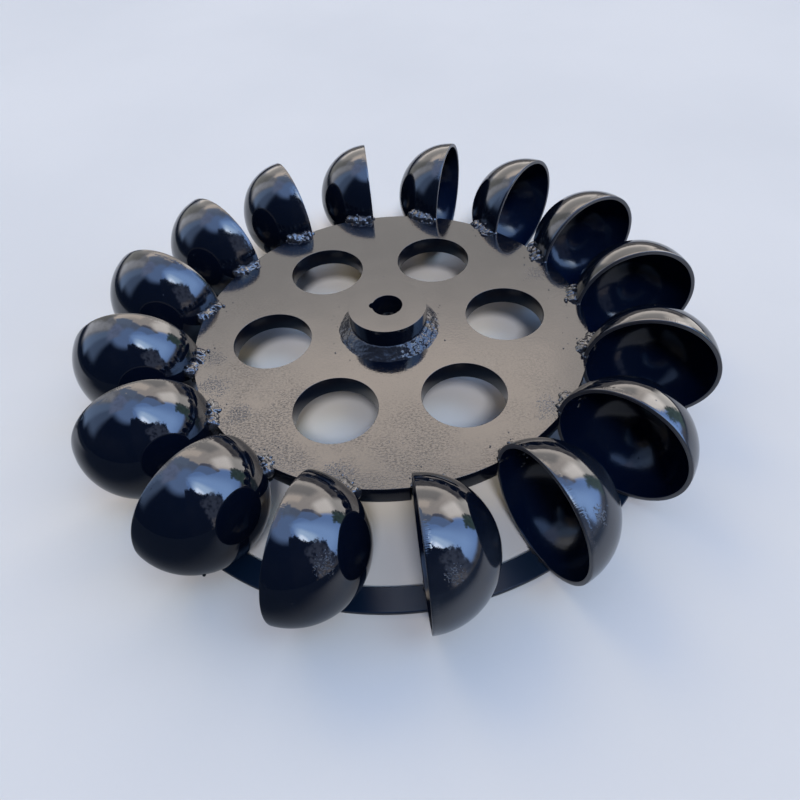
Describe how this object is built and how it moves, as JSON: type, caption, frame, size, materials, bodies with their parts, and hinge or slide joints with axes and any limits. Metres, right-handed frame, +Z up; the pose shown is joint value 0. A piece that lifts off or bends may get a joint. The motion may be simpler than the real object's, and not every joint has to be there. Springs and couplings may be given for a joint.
{
  "type": "turgo wheel",
  "caption": "Flat turgo runner: half-ball bowls welded round a disc with round windows, a keyed hub, and a flat tie ring under the bowls.",
  "frame": {"origin": "on the wheel's axis, level with the underside of the lower ring, where the wheel rests on a floor", "axes": "+Z up along the wheel's axis, from the lower ring towards the hub's top face; a bowl and a round window both lie on +X; the bowls' mouths face clockwise seen from +Z"},
  "size_m": [0.4, 0.4, 0.0813],
  "materials": {
    "disc_enamel": "glossy black enamel",
    "hub_enamel": "glossy black enamel",
    "bowl_enamel": "glossy black enamel",
    "ring_enamel": "satin black enamel",
    "weld_enamel": "black enamel over rough weld metal"
  },
  "bodies": {
    "root": {"disc_plate": "disc_enamel", "hub": "hub_enamel", "hub_weld": "weld_enamel", "lower_ring": "ring_enamel", "bowl_01": "bowl_enamel", "bowl_02": "bowl_enamel", "bowl_03": "bowl_enamel", "bowl_04": "bowl_enamel", "bowl_05": "bowl_enamel", "bowl_06": "bowl_enamel", "bowl_07": "bowl_enamel", "bowl_08": "bowl_enamel", "bowl_09": "bowl_enamel", "bowl_10": "bowl_enamel", "bowl_11": "bowl_enamel", "bowl_12": "bowl_enamel", "bowl_13": "bowl_enamel", "bowl_14": "bowl_enamel", "bowl_15": "bowl_enamel", "bowl_16": "bowl_enamel", "bowl_weld_01": "weld_enamel", "bowl_weld_02": "weld_enamel", "bowl_weld_03": "weld_enamel", "bowl_weld_04": "weld_enamel", "bowl_weld_05": "weld_enamel", "bowl_weld_06": "weld_enamel", "bowl_weld_07": "weld_enamel", "bowl_weld_08": "weld_enamel", "bowl_weld_09": "weld_enamel", "bowl_weld_10": "weld_enamel", "bowl_weld_11": "weld_enamel", "bowl_weld_12": "weld_enamel", "bowl_weld_13": "weld_enamel", "bowl_weld_14": "weld_enamel", "bowl_weld_15": "weld_enamel", "bowl_weld_16": "weld_enamel"}
  },
  "joints": []
}
